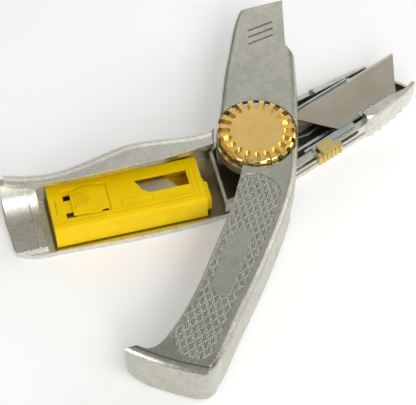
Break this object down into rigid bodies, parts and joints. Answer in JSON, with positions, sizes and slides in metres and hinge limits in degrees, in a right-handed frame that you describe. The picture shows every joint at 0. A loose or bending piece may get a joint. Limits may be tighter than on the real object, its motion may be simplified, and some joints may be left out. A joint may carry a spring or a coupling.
{
  "type": "utility knife",
  "caption": "Retractable utility knife with two cast halves that swing open about a knurled knob, showing the blade slider and a spare blade dispenser.",
  "frame": {"origin": "on the swing axis of the two halves, on the flat outer face of the lower half", "axes": "+X along the blade towards the nose, +Y towards the cutting edge, +Z along the swing axis towards the knob"},
  "size_m": [0.1933, 0.1398, 0.026],
  "materials": {
    "cast_zinc": "satin die-cast zinc, tumbled",
    "cast_zinc_upper": "satin die-cast zinc with a knurled grip field",
    "steel": "bright turned steel",
    "spring_steel": "dark spring steel",
    "bronze": "plain sintered bronze",
    "brass": "lacquered brass plate, flat face satin, edges polished",
    "brass_button": "satin brass plate",
    "blade_steel": "ground carbon steel",
    "zinc_plate": "clear blue zinc plate",
    "yellow_plastic": "moulded yellow plastic",
    "yellow_pusher": "moulded yellow plastic, ribbed pad"
  },
  "bodies": {
    "lower_half": {"lower_shell": "cast_zinc", "pivot_post": "steel", "detent_spring": "spring_steel", "detent_rivet": "steel"},
    "upper_half": {"upper_shell": "cast_zinc_upper", "pivot_bush": "bronze"},
    "knob_set": {"knob": "brass", "knob_screw": "steel", "thrust_washer": "steel", "wave_washer": "spring_steel"},
    "carriage": {"blade_carrier": "zinc_plate", "blade": "blade_steel", "blade_studs": "zinc_plate", "button_spring": "spring_steel"},
    "button": {"slider_button": "brass_button"},
    "dispenser": {"dispenser_body": "yellow_plastic", "dispenser_latch": "yellow_plastic", "dispenser_spring": "spring_steel", "spare_blades": "blade_steel"},
    "pusher": {"dispenser_pusher": "yellow_pusher"}
  },
  "joints": [
    {"name": "upper_swing", "type": "hinge", "parent": "lower_half", "child": "upper_half", "pos_m": [0, 0, 0.012], "axis": [0, 0, 1], "range_deg": [-54.8, 8]},
    {"name": "knob_turn", "type": "hinge", "parent": "lower_half", "child": "knob_set", "pos_m": [0, 0, 0.024], "axis": [0, 0, 1], "continuous": true},
    {"name": "blade_slide", "type": "slide", "parent": "lower_half", "child": "carriage", "axis": [1, 0, 0], "range_m": [-0.02, 0.005]},
    {"name": "button_press", "type": "slide", "parent": "carriage", "child": "button", "axis": [0, 1, 0], "range_m": [0, 0.0008], "stiffness_N_per_m": 900},
    {"name": "dispenser_slide", "type": "slide", "parent": "lower_half", "child": "dispenser", "axis": [0.9252, -0.3795, 0], "range_m": [0, 0.003]},
    {"name": "pusher_slide", "type": "slide", "parent": "dispenser", "child": "pusher", "axis": [-0.9252, 0.3795, 0], "range_m": [0, 0.0028]}
  ]
}
